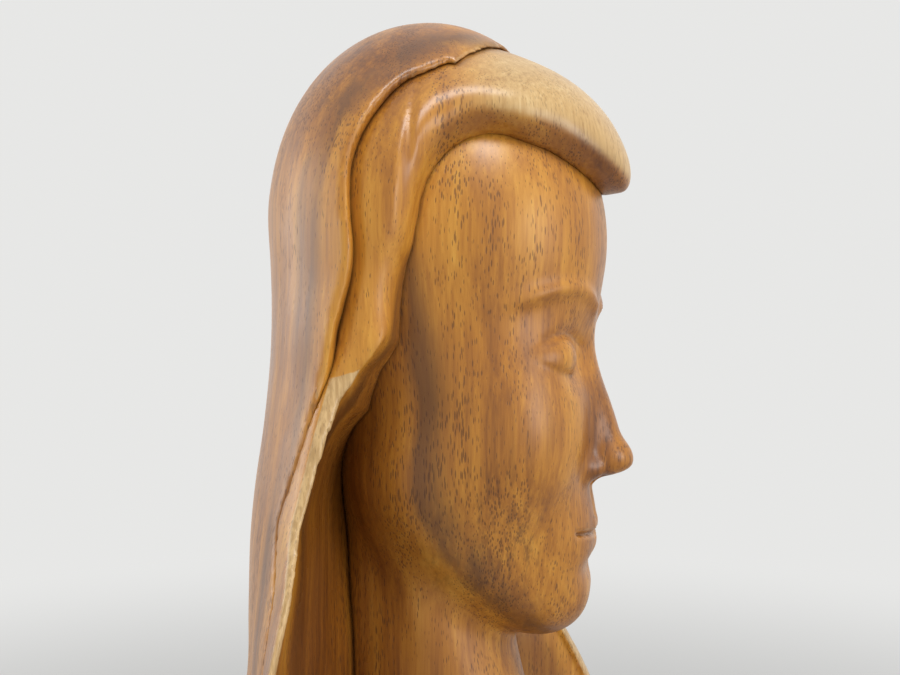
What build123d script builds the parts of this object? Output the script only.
"""Carved wooden Madonna: a standing figure in a long robe, with a hooded veil and praying hands.

The figure is built up from carved blocks, glued and dowelled, and stands on a screwed-on oval plinth.
Row frame: millimetres, +Z up, origin at the centre of the underside of the felt.
The body faces -Y and +X is its left side. The head is turned a little towards its left.
"""

from build123d import *
import math
import os

# ---------------------------------------------------------------- driving dimensions
HEIGHT = 640.0  # felt underside to the top of the veil
CHIN_DROP = 118.5  # top of the veil to the underside of the chin
HEAD_TURN = 20.0  # degrees about +Z, towards the figure's left
FELT_THICK = 2.0
PLINTH_THICK = 24.0
PLINTH_HALF_WIDTH = 90.0
PLINTH_HALF_DEPTH = 76.0
PLINTH_ROUND = 7.0  # radius on the plinth's upper edge
FELT_INSET = 4.0
SHOULDER_JOINT = 455.0  # height of the glue joint between the veil and the mantle
GAP = 0.06  # radial clearance of a dowel, screw or tenon in its hole

# Heights that follow from those
CHIN = -56.0  # height of the chin in the head's own frame
HEAD_CENTRE = HEIGHT - CHIN_DROP - CHIN  # origin of the head's own frame, on the head's vertical axis
TOP = HEIGHT - HEAD_CENTRE  # top of the veil in the head's own frame
FIGURE_FOOT = FELT_THICK + PLINTH_THICK

# Neck joint
NECK_RADIUS = 17.0
NECK_SOCKET_FLOOR = 470.0
NECK_SOCKET_TOP = 500.0  # anywhere above the robe
NECK_DOWEL = (5.0, 448.0, 488.0)  # radius, lowest and highest point

# Fixings: radius, and where they go
SCREW_RADIUS = 2.5
SCREW_HEAD_RADIUS = 5.0
SCREW_LENGTH = 45.0
SCREW_RIM = 0.8  # thickness of the head's edge
SCREW_POINT = 6.0  # length of the tapered point
SCREW_POINT_RADIUS = 0.4
SCREW_SLOT = (1.2, 1.0)  # width, depth
SCREW_SPOTS = [(0.0, -24.0), (30.0, 14.0), (-30.0, 14.0)]
BASE_DOWEL = (5.0, 30.0)  # radius, length
BASE_DOWEL_SPOTS = [(34.0, -12.0), (-34.0, -12.0)]
MANTLE_DOWEL = (4.0, 14.0, 34.0)  # radius, nearest and furthest y
MANTLE_DOWEL_SPOTS = [(x, z) for z in (150.0, 370.0) for x in (-18.0, 18.0)]
VEIL_DOWEL = (2.5, 14.0, 29.0)  # radius, nearest and furthest distance behind the head's axis
VEIL_DOWEL_HEIGHTS = (6.0, 26.0)  # above the head's centre
SLEEVE_DOWEL = (3.0, 26.0, 44.0)  # radius, nearest and furthest distance in front of the body axis
SLEEVE_DOWEL_SPOTS = [(26.0, 392.0), (38.0, 402.0)]  # distance from the middle, height
WRIST_DOWEL = (2.5, 20.0)  # radius, length
WRIST_JOINT = -14.0  # where the wrist stub ends inside the sleeve, along the hand

# Praying hands: the wrist, the fingertips and the slope of the forearm
WRIST = (8.5, -55.0, 424.0)
FINGERTIP_HEIGHT = 489.0
HAND_LEAN = 7.0  # degrees that the fingers lean forward from upright
PALM_GAP = 0.3  # from each palm to the middle plane
FINGERTIP_INSET = 2.6  # from each fingertip to the middle plane
THUMB_RADIUS = 2.9
THUMB = ((-4.2, 9.0, 12.0), (-5.0, 13.0, 33.0))  # root and tip in the hand's frame

OUTLINE_POINTS = 20  # points on each smooth closed outline
CUT_SPAN = 90.0  # reach of a front cut to either side, beyond every block


# ---------------------------------------------------------------- outlines and lofts
def egg(z, half_width, front, back, turn=0.0):
    """A smooth closed outline at height z that reaches y = -front and y = +back, turned about Z."""
    centre = (back - front) / 2
    half_depth = (back + front) / 2
    points = []
    for i in range(OUTLINE_POINTS):
        angle = 2 * math.pi * i / OUTLINE_POINTS
        point = Vector(half_width * math.cos(angle), centre + half_depth * math.sin(angle), z)
        points.append(point.rotate(Axis.Z, turn))
    return Face(Wire([Edge.make_spline(points, periodic=True)]))


def tower(rows):
    """A loft through egg outlines, given as (height, half width, front, back)."""
    return loft([egg(z, w, f, b) for z, w, f, b in rows])


def drop_blend(z, low, high):
    """0 below low, 1 above high, and smooth between."""
    t = min(1.0, max(0.0, (z - low) / (high - low)))
    return t * t * (3 - 2 * t)


def head_tower(rows, top):
    """A loft in the head's own frame that untwists to the body's frame towards the shoulders.

    rows hold (height above the head's centre, half width, front, back); top is the height of its tip.
    """
    sections = []
    for h, w, f, b in rows:
        turn = HEAD_TURN * drop_blend(h, -100.0, -20.0)
        sections.append(egg(HEAD_CENTRE + h, w, f, b, turn))
    sections.append(Vertex(0, 0, HEAD_CENTRE + top))
    return loft(sections)


def side_cutter(points, turn=0.0):
    """Everything in front of a side-view curve, given from the top as (distance in front of the axis, height)."""
    far = 120.0
    curve = Edge.make_spline([Vector(0, -f, z) for f, z in points])
    first, last = points[0], points[-1]
    reaches = [(last[0], last[1]), (far, last[1]), (far, first[1]), (first[0], first[1])]
    corners = [Vector(0, -f, z) for f, z in reaches]
    sides = [Edge.make_line(a, b) for a, b in zip(corners, corners[1:])]
    face = Face(Wire([curve, *sides]))
    block = extrude(face, amount=CUT_SPAN, dir=(1, 0, 0), both=True)
    return block.rotate(Axis.Z, turn)


def rod(radius, start, end):
    """A round rod between two points."""
    a, b = Vector(*start), Vector(*end)
    return Solid.make_cylinder(radius, (b - a).length, Plane(origin=a, z_dir=(b - a).normalized()))


def mirrored(shape):
    """The same shape on the figure's other side."""
    return shape.mirror(Plane.YZ)


# ---------------------------------------------------------------- robe and mantle
ROBE_ROWS = [
    (FIGURE_FOOT, 61.0, 48.0, 40.0),
    (60.0, 58.0, 45.0, 38.0),
    (120.0, 53.5, 41.0, 35.5),
    (200.0, 50.0, 38.0, 33.5),
    (280.0, 49.5, 37.0, 33.0),
    (350.0, 51.0, 37.0, 33.0),
    (400.0, 53.0, 36.5, 33.0),
    (440.0, 52.0, 33.0, 32.0),
    (465.0, 44.0, 27.5, 29.0),
    (480.0, 33.0, 22.5, 25.0),
    (488.0, 22.0, 19.5, 20.0),
]
MANTLE_ROWS = [
    (FIGURE_FOOT + 6.0, 68.0, 54.0, 47.0),
    (60.0, 65.5, 51.0, 45.0),
    (120.0, 61.0, 47.0, 42.5),
    (200.0, 57.5, 44.0, 40.5),
    (280.0, 57.5, 43.0, 40.0),
    (350.0, 60.5, 43.0, 40.0),
    (400.0, 63.5, 43.0, 40.0),
    (440.0, 63.0, 41.0, 39.0),
    (SHOULDER_JOINT, 60.5, 39.0, 41.0),
]
MANTLE_FRONT = [(6.0, 470.0), (14.0, 440.0), (23.0, 400.0), (27.0, 340.0)]
MANTLE_FRONT += [(24.0, 240.0), (16.0, 130.0), (8.0, 20.0)]


def neck_hole():
    return rod(NECK_RADIUS + GAP, (0, 0, NECK_SOCKET_FLOOR), (0, 0, NECK_SOCKET_TOP))


def robe_block():
    """The main block, from the plinth to the base of the neck."""
    return tower(ROBE_ROWS)


def mantle_block(robe):
    """The cloak behind and beside the robe, glued to its back."""
    return tower(MANTLE_ROWS) - robe - side_cutter(MANTLE_FRONT)


# ---------------------------------------------------------------- veil, coif and head
VEIL_ROWS = [
    (SHOULDER_JOINT - HEAD_CENTRE, 60.5, 39.0, 41.0),
    (-105.0, 57.0, 38.0, 37.0),
    (-80.0, 50.5, 37.0, 35.0),
    (-56.0, 44.0, 36.0, 33.5),
    (-30.0, 38.5, 36.0, 32.0),
    (0.0, 35.5, 36.0, 31.5),
    (22.0, 34.5, 36.0, 31.0),
    (37.0, 31.0, 34.0, 29.0),
    (46.0, 26.5, 29.5, 25.5),
    (52.0, 21.0, 23.5, 21.5),
    (57.0, 14.5, 16.0, 15.5),
    (60.5, 8.0, 9.0, 8.5),
]
COIF_ROWS = [
    (-88.0, 48.0, 33.0, 31.5),
    (-56.0, 39.5, 32.0, 29.5),
    (-30.0, 34.5, 32.0, 28.0),
    (0.0, 31.5, 33.0, 27.5),
    (20.0, 31.0, 37.5, 27.0),
    (32.0, 29.5, 41.0, 26.0),
    (40.0, 26.5, 38.0, 24.0),
    (46.0, 22.5, 31.5, 21.5),
    (52.0, 15.5, 21.0, 16.5),
    (56.5, 8.0, 10.0, 9.0),
]
COIF_INSIDE_ROWS = [
    (-89.0, 43.5, 28.0, 27.5),
    (-56.0, 35.0, 34.0, 25.5),
    (-30.0, 30.0, 34.5, 25.0),
    (0.0, 27.2, 35.0, 24.8),
    (20.0, 26.8, 36.0, 24.6),
    (32.0, 25.6, 35.2, 23.6),
    (40.0, 22.6, 31.4, 21.4),
    (46.0, 18.6, 25.6, 18.6),
    (51.0, 12.6, 17.4, 13.4),
    (54.0, 7.0, 9.0, 8.0),
]
SHOULDER_HOLLOW_ROWS = [  # the space inside the veil below the coif
    (SHOULDER_JOINT - 1.0, 55.5, 34.5, 36.5),
    (HEAD_CENTRE - 88.0, 48.0, 33.0, 31.5),
]
COIF_TIP = 59.0
COIF_INSIDE_TIP = 55.4
VEIL_FRONT = [(27.0, 51.4), (15.8, 51.8), (3.5, 50.0), (-2.5, 40.0), (-4.7, 23.0), (-5.2, 6.0), (-8.0, -18.0)]
VEIL_FRONT += [(-8.5, -45.0), (-3.0, -85.0), (6.0, -130.0)]
COIF_FRONT = [(38.0, 24.0), (27.7, 31.7), (18.2, 34.7), (11.0, 33.0), (6.0, 26.0), (3.6, 12.0), (0.5, -4.0)]
COIF_FRONT += [(-5.0, -20.0), (-7.5, -45.0), (-3.0, -92.0)]
HEAD_ROWS = [  # height, half width, front and back reach of the skull and jaw
    (CHIN, 6.0, 28.0, -15.0),
    (-51.0, 11.5, 30.5, -8.0),
    (-43.0, 15.5, 31.0, -2.0),
    (-31.0, 19.5, 31.0, 6.0),
    (-17.0, 23.0, 31.5, 14.0),
    (-3.0, 25.0, 31.0, 20.0),
    (10.0, 25.5, 33.5, 23.0),
    (24.0, 25.3, 34.6, 23.8),
    (35.0, 23.2, 31.8, 22.0),
    (44.0, 18.6, 25.6, 18.0),
    (49.5, 12.5, 17.5, 13.0),
]
CROWN = (0.0, -2.0, 53.2)
NECK_ROWS = [  # the first row is a shoulder that sits on the robe, a little wider than the tenon below it
    (-89.4, 18.0, 18.0, 18.0),
    (-75.0, 16.2, 14.5, 17.5),
    (-30.0, 15.5, 12.0, 19.0),
]
NOSE = ((0.0, -31.0, -14.0), (4.6, 5.5, 15.0), -17.0)  # centre, radii, tilt in degrees
LEFT_EYELID = ((10.8, -23.6, -3.0), (6.4, 6.6, 4.6))
RIGHT_EYELID = ((-10.8, -23.6, -3.0), (6.4, 6.6, 4.6))
LIPS = ((0.0, -28.0, -36.5), (8.0, 4.0, 3.4))


def at_head(points):
    """Side-view points given from the head's centre, as heights in the row frame."""
    return [(f, HEAD_CENTRE + h) for f, h in points]


def coif_solid():
    """The inner hood round the face, before it is hollowed: its front is the rolled brim over the forehead."""
    return head_tower(COIF_ROWS, COIF_TIP)


def coif_block(outside):
    opening = side_cutter(at_head(COIF_FRONT), HEAD_TURN)
    return outside - head_tower(COIF_INSIDE_ROWS, COIF_INSIDE_TIP) - opening


def veil_block(coif_outside):
    """The outer veil from the crown to the shoulder joint, lying on the coif."""
    opening = side_cutter(at_head(VEIL_FRONT), HEAD_TURN)
    return head_tower(VEIL_ROWS, TOP) - coif_outside - tower(SHOULDER_HOLLOW_ROWS) - opening


def ellipsoid(centre, radii, tilt=0.0):
    """An ellipsoid in the head's frame, with tilt about X."""
    ball = scale(Sphere(1.0), by=radii)
    return ball.rotate(Axis.X, tilt).moved(Location(centre))


def head_block():
    """Skull, jaw, nose and neck in one piece, ending in a round tenon."""
    sections = [egg(h, w, f, b) for h, w, f, b in HEAD_ROWS]
    head = loft([*sections, Vertex(*CROWN)])
    for feature in (NOSE, LEFT_EYELID, RIGHT_EYELID, LIPS):
        head = head + ellipsoid(*feature)
    tenon_low = NECK_SOCKET_FLOOR - HEAD_CENTRE + GAP
    tenon_high = NECK_ROWS[0][0] + 1.0  # just inside the neck
    head = head + tower(NECK_ROWS) + rod(NECK_RADIUS, (0, 0, tenon_low), (0, 0, tenon_high))
    return head.rotate(Axis.Z, HEAD_TURN).moved(Location((0, 0, HEAD_CENTRE)))


# ---------------------------------------------------------------- sleeves and hands, figure's left side
SLEEVE_STATIONS = [  # centre of each section, half thickness, half height
    ((50.0, -14.0, 384.0), 13.0, 16.0),
    ((40.0, -30.0, 392.0), 13.5, 18.0),
    ((27.0, -42.0, 400.0), 12.5, 21.0),
    ((14.5, -50.0, 407.0), 10.0, 25.0),
]
HAND_STATIONS = [  # distance along the hand from the wrist, half thickness, half breadth
    (WRIST_JOINT, 5.2, 6.5),
    (0.0, 5.6, 7.2),
    (14.0, 6.4, 11.5),
    (30.0, 5.8, 12.0),
    (46.0, 5.0, 10.5),
    (60.0, 4.0, 7.0),
]


def sleeve_block():
    """A bell sleeve from the elbow to the open cuff at the wrist."""
    centres = [Vector(*c) for c, _, _ in SLEEVE_STATIONS]
    sections = []
    for i, (_, thick, tall) in enumerate(SLEEVE_STATIONS):
        before, after = centres[max(0, i - 1)], centres[min(len(centres) - 1, i + 1)]
        step = after - before
        along = Vector(step.X, step.Y, 0).normalized()
        across = along.cross(Vector(0, 0, 1))
        section = Plane(origin=centres[i], x_dir=across, z_dir=along)
        sections.append(section * Ellipse(thick, tall))
    return loft(sections)


def hand_frame():
    """Origin at the wrist, local Z towards the fingertips and local X out of the hand's back."""
    lean = math.radians(HAND_LEAN)
    up = Vector(0, -math.sin(lean), math.cos(lean))
    return Plane(origin=WRIST, x_dir=(1, 0, 0), z_dir=up)


def hand_block():
    """A flat hand and its wrist stub, with the thumb along its inner edge."""
    frame = hand_frame()
    length = (FINGERTIP_HEIGHT - WRIST[2]) / math.cos(math.radians(HAND_LEAN))
    sections = []
    for along, thick, broad in HAND_STATIONS:
        inset = WRIST[0] - thick - PALM_GAP if along > 0 else 0.0
        sections.append(frame * Location((-inset, 0, along)) * Ellipse(thick, broad))
    tip = frame.from_local_coords(Vector(FINGERTIP_INSET - WRIST[0], 0, length))
    palm = loft([*sections, Vertex(*tip)])
    thumb_root, thumb_tip = (frame.from_local_coords(Vector(*p)) for p in THUMB)
    thumb = rod(THUMB_RADIUS, thumb_root, thumb_tip) + Sphere(THUMB_RADIUS).moved(Location(thumb_tip))
    return palm + thumb


def wrist_rod(radius):
    """The dowel between the hand and the sleeve, or its hole."""
    frame = hand_frame()
    half = WRIST_DOWEL[1] / 2
    low = frame.from_local_coords(Vector(0, 0, WRIST_JOINT - half))
    high = frame.from_local_coords(Vector(0, 0, WRIST_JOINT + half))
    return rod(radius, low, high)


# ---------------------------------------------------------------- plinth and fixings
def oval_slab(half_width, half_depth, low, high):
    return extrude(Plane.XY.offset(low) * Ellipse(half_width, half_depth), amount=high - low)


def screw(x, y, slack=0.0):
    """A countersunk wood screw driven up through the plinth, or its hole when slack is given."""
    rim_top = FELT_THICK + SCREW_RIM
    neck = rim_top + SCREW_HEAD_RADIUS - SCREW_RADIUS
    tip = FELT_THICK + SCREW_LENGTH
    outline = [
        (0, FELT_THICK),
        (SCREW_HEAD_RADIUS + slack, FELT_THICK),
        (SCREW_HEAD_RADIUS + slack, rim_top),
        (SCREW_RADIUS + slack, neck),
        (SCREW_RADIUS + slack, tip - SCREW_POINT),
        (SCREW_POINT_RADIUS + slack, tip + slack),
        (0, tip + slack),
    ]
    face = make_face(Polyline(*[(r, 0, z) for r, z in outline], close=True))
    return revolve(face, Axis.Z).moved(Location((x, y, 0)))


def screw_with_slot(x, y):
    width, depth = SCREW_SLOT
    slot = Box(2 * SCREW_HEAD_RADIUS, width, 2 * depth).moved(Location((x, y, FELT_THICK)))
    return screw(x, y) - slot


def group(shapes):
    return Compound(children=[s for shape in shapes for s in shape.solids()])


def dowels(slack=0.0):
    """Every dowel as {node: [rods]}; slack widens and lengthens them into their holes."""
    found = {}
    r, low, high = NECK_DOWEL
    found["neck_dowel"] = [rod(r + slack, (0, 0, low - slack), (0, 0, high + slack))]
    r, length = BASE_DOWEL
    low, high = FIGURE_FOOT - length / 2 - slack, FIGURE_FOOT + length / 2 + slack
    found["base_dowels"] = [rod(r + slack, (x, y, low), (x, y, high)) for x, y in BASE_DOWEL_SPOTS]
    r, near, far = MANTLE_DOWEL
    near, far = near - slack, far + slack
    found["mantle_dowels"] = [rod(r + slack, (x, near, z), (x, far, z)) for x, z in MANTLE_DOWEL_SPOTS]
    r, near, far = VEIL_DOWEL
    near, far = near - slack, far + slack
    heights = [HEAD_CENTRE + h for h in VEIL_DOWEL_HEIGHTS]
    pegs = [rod(r + slack, (0, near, z), (0, far, z)) for z in heights]
    found["veil_dowels"] = [p.rotate(Axis.Z, HEAD_TURN) for p in pegs]
    r, near, far = SLEEVE_DOWEL
    pegs = [rod(r + slack, (x, -near + slack, z), (x, -far - slack, z)) for x, z in SLEEVE_DOWEL_SPOTS]
    found["sleeve_dowels"] = pegs + [mirrored(p) for p in pegs]
    peg = wrist_rod(WRIST_DOWEL[0] + slack)
    found["wrist_dowels"] = [peg, mirrored(peg)]
    return found


def drilled(shape, holes):
    for hole in holes:
        shape = shape - hole
    return shape


def build():
    pegs, holes = dowels(), dowels(GAP)
    screws = [screw(x, y, GAP) for x, y in SCREW_SPOTS]

    plinth = oval_slab(PLINTH_HALF_WIDTH, PLINTH_HALF_DEPTH, FELT_THICK, FIGURE_FOOT)
    plinth = fillet(plinth.edges().group_by(Axis.Z)[-1], PLINTH_ROUND)
    plinth = drilled(plinth, screws + holes["base_dowels"])
    felt = oval_slab(PLINTH_HALF_WIDTH - FELT_INSET, PLINTH_HALF_DEPTH - FELT_INSET, 0, FELT_THICK)

    robe_solid = robe_block()
    mantle = drilled(mantle_block(robe_solid), holes["mantle_dowels"])
    coif_outside = coif_solid()
    veil = drilled(veil_block(coif_outside), holes["veil_dowels"])
    coif = drilled(coif_block(coif_outside), holes["veil_dowels"])
    head = drilled(head_block(), holes["veil_dowels"] + holes["neck_dowel"])

    hand = hand_block()
    whole_sleeve = sleeve_block() - hand
    sleeve_holes = holes["sleeve_dowels"] + holes["wrist_dowels"]
    left_sleeve = drilled(whole_sleeve - robe_solid - mantle, sleeve_holes)
    right_sleeve = drilled(mirrored(whole_sleeve) - robe_solid - mantle, sleeve_holes)
    hand = drilled(hand, holes["wrist_dowels"])

    robe = drilled(robe_solid - neck_hole(), screws)
    for name in ("base_dowels", "neck_dowel", "mantle_dowels", "sleeve_dowels"):
        robe = drilled(robe, holes[name])

    nodes = {
        "plinth": plinth,
        "base_felt": felt,
        "base_screws": group([screw_with_slot(x, y) for x, y in SCREW_SPOTS]),
        "robe": robe,
        "mantle": mantle,
        "veil": veil,
        "coif": coif,
        "head": head,
        "left_sleeve": left_sleeve,
        "right_sleeve": right_sleeve,
        "left_hand": hand,
        "right_hand": mirrored(hand),
    }
    nodes.update({name: group(rods) for name, rods in pegs.items()})
    return nodes


if __name__ == "__main__":
    os.makedirs("parts", exist_ok=True)
    for name, shape in build().items():
        export_step(shape, f"parts/{name}.step")
